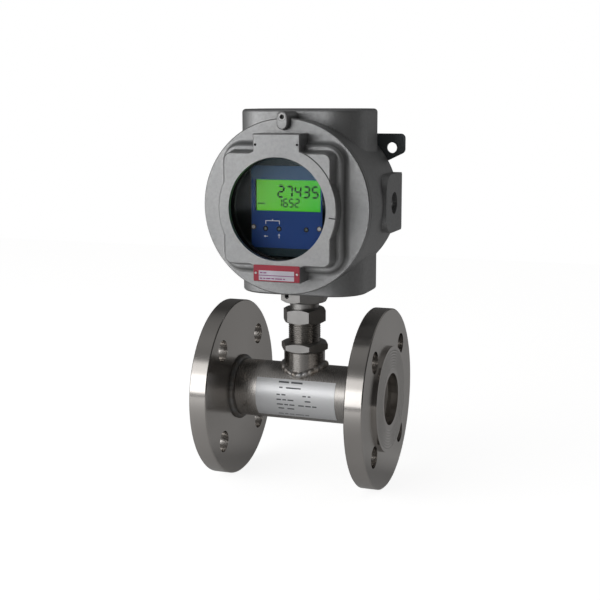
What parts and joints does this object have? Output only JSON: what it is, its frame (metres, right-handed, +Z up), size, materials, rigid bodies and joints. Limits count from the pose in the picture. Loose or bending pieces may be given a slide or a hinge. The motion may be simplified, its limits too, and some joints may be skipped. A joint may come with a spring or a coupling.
{
  "type": "turbine flow meter",
  "caption": "Flanged turbine flow meter: straight pipe with rotor and flow straighteners, and a swivelling round-window indicator head on a threaded stem.",
  "frame": {"origin": "centre of the inlet flange's sealing face", "axes": "+X along the flow from inlet to outlet, +Z up from the pipe to the indicator head, the window looks along -Y"},
  "size_m": [0.152, 0.15, 0.312],
  "materials": {
    "stainless": "turned and brushed",
    "stainless_dark": "machined",
    "weld_steel": "as welded",
    "rotor_steel": "milled",
    "carbide": "ground",
    "black_steel": "black oxide",
    "blue_steel": "blued",
    "cast_aluminium": "blasted casting",
    "glass": "clear",
    "rubber": "matt",
    "tag_red": "printed metal",
    "module_plastic": "fine textured",
    "foil_blue": "printed foil",
    "lcd_green": "backlit",
    "board_green": "solder mask",
    "brass_pillar": "turned",
    "label_silver": "metallised sticker",
    "button_dark": "moulded",
    "coil_plastic": "potted"
  },
  "bodies": {
    "meter_body": {"meter_tube": "stainless", "inlet_flange": "stainless", "outlet_flange": "stainless", "flange_welds": "weld_steel", "inlet_support": "stainless_dark", "outlet_support": "stainless_dark", "retaining_rings": "stainless_dark", "rotor_shaft": "stainless", "thrust_washers": "stainless", "sensor_collar": "stainless", "collar_weld": "weld_steel", "threaded_sleeve": "stainless", "pickup_coil": "coil_plastic", "lock_nut": "stainless", "union_nut": "stainless", "tube_label": "label_silver"},
    "rotor": {"rotor": "rotor_steel", "rotor_bush": "carbide"},
    "head": {"swivel_adaptor": "stainless", "grub_screw": "black_steel", "housing": "cast_aluminium", "mounting_lugs": "blue_steel", "lug_screws": "stainless", "clamp_screw": "stainless_dark", "display_module": "module_plastic", "front_foil": "foil_blue", "lcd": "lcd_green", "panel_screws": "stainless", "circuit_board": "board_green", "board_pillars": "brass_pillar"},
    "cover": {"cover": "cast_aluminium", "window_glass": "glass", "window_seal": "rubber", "glass_ring": "stainless_dark", "cover_seal": "rubber", "tag_plate": "tag_red", "tag_rivets": "stainless"},
    "clamp": {"cover_clamp": "cast_aluminium"},
    "button_left": {"button_left": "button_dark"},
    "button_middle": {"button_middle": "button_dark"},
    "button_right": {"button_right": "button_dark"}
  },
  "joints": [
    {"name": "rotor_spin", "type": "hinge", "parent": "meter_body", "child": "rotor", "pos_m": [0.076, 0, 0], "axis": [1, 0, 0], "continuous": true},
    {"name": "head_swivel", "type": "hinge", "parent": "meter_body", "child": "head", "pos_m": [0.076, 0, 0.0677], "axis": [0, 0, 1], "range_deg": [-180, 180]},
    {"name": "cover_lift_off", "type": "slide", "parent": "head", "child": "cover", "axis": [0, -1, 0], "range_m": [0, 0.06]},
    {"name": "clamp_swing", "type": "hinge", "parent": "head", "child": "clamp", "pos_m": [0.076, -0.049, 0.2312], "axis": [0, 1, 0], "range_deg": [0, 180]},
    {"name": "button_left_press", "type": "slide", "parent": "head", "child": "button_left", "axis": [0, 1, 0], "range_m": [0, 0.001], "stiffness_N_per_m": 400},
    {"name": "button_middle_press", "type": "slide", "parent": "head", "child": "button_middle", "axis": [0, 1, 0], "range_m": [0, 0.001], "stiffness_N_per_m": 400},
    {"name": "button_right_press", "type": "slide", "parent": "head", "child": "button_right", "axis": [0, 1, 0], "range_m": [0, 0.001], "stiffness_N_per_m": 400}
  ]
}
